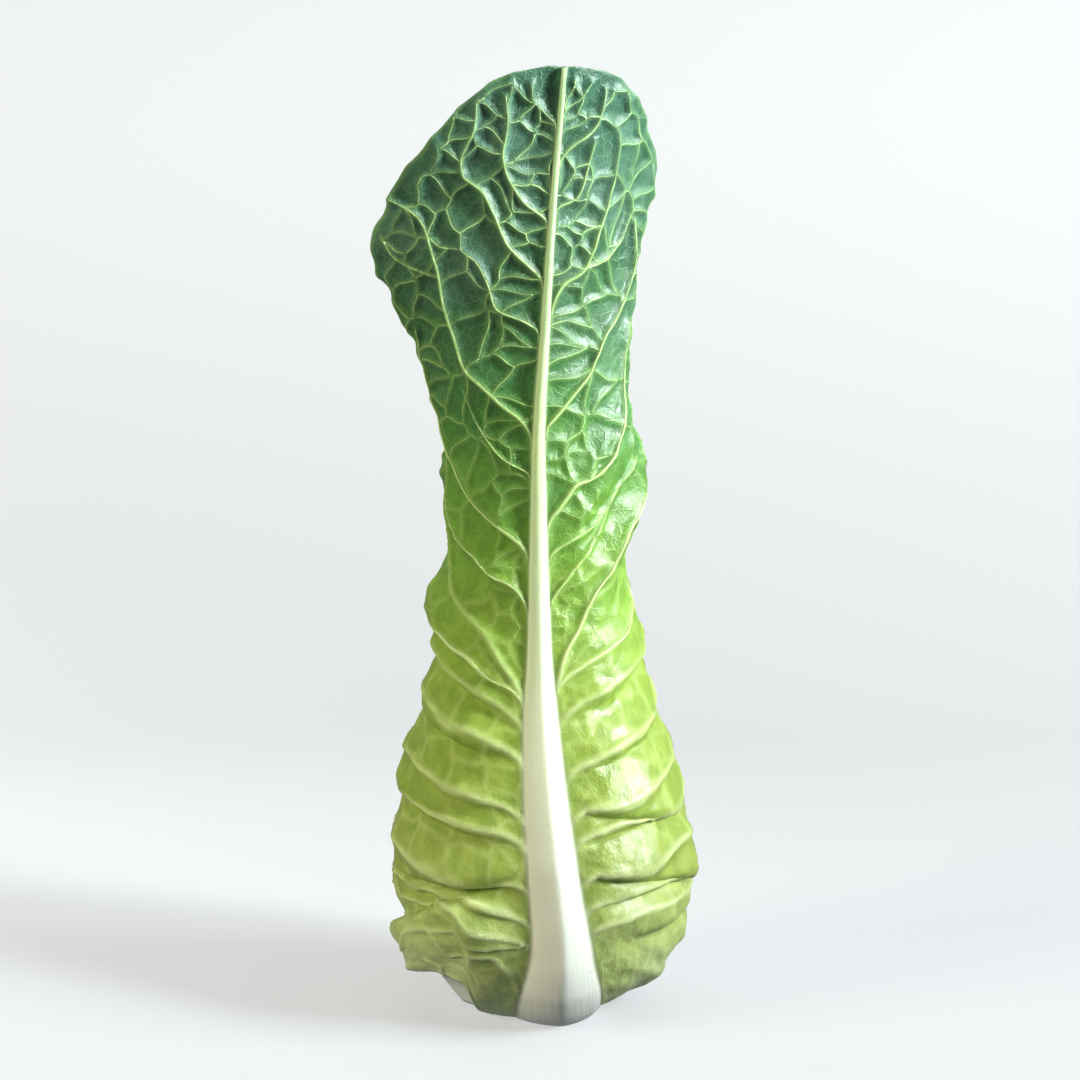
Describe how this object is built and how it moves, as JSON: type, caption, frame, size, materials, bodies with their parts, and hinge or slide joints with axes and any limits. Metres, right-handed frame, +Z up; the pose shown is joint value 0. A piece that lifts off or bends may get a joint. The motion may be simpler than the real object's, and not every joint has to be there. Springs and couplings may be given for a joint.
{
  "type": "pointed cabbage",
  "caption": "Tall pointed cabbage standing on its cut stem: waved wrapper leaves with a thick pale midrib and raised veins round a tight cone-shaped heart.",
  "frame": {"origin": "middle of the stem's cut face, on the ground", "axes": "+Z up the head from the cut stem to the leaf tips, -Y the way the outermost leaf's midrib faces, +X to the right of someone who looks at that leaf"},
  "size_m": [0.1145, 0.105, 0.331],
  "materials": {
    "wrapper_leaf": "waxy satin",
    "heart_leaf": "satin",
    "stem": "matt"
  },
  "bodies": {
    "root": {"leaf_front": "wrapper_leaf", "leaf_back_right": "wrapper_leaf", "leaf_left": "wrapper_leaf", "leaf_right": "wrapper_leaf", "leaf_back_left": "wrapper_leaf", "heart": "heart_leaf", "stem": "stem"}
  },
  "joints": []
}
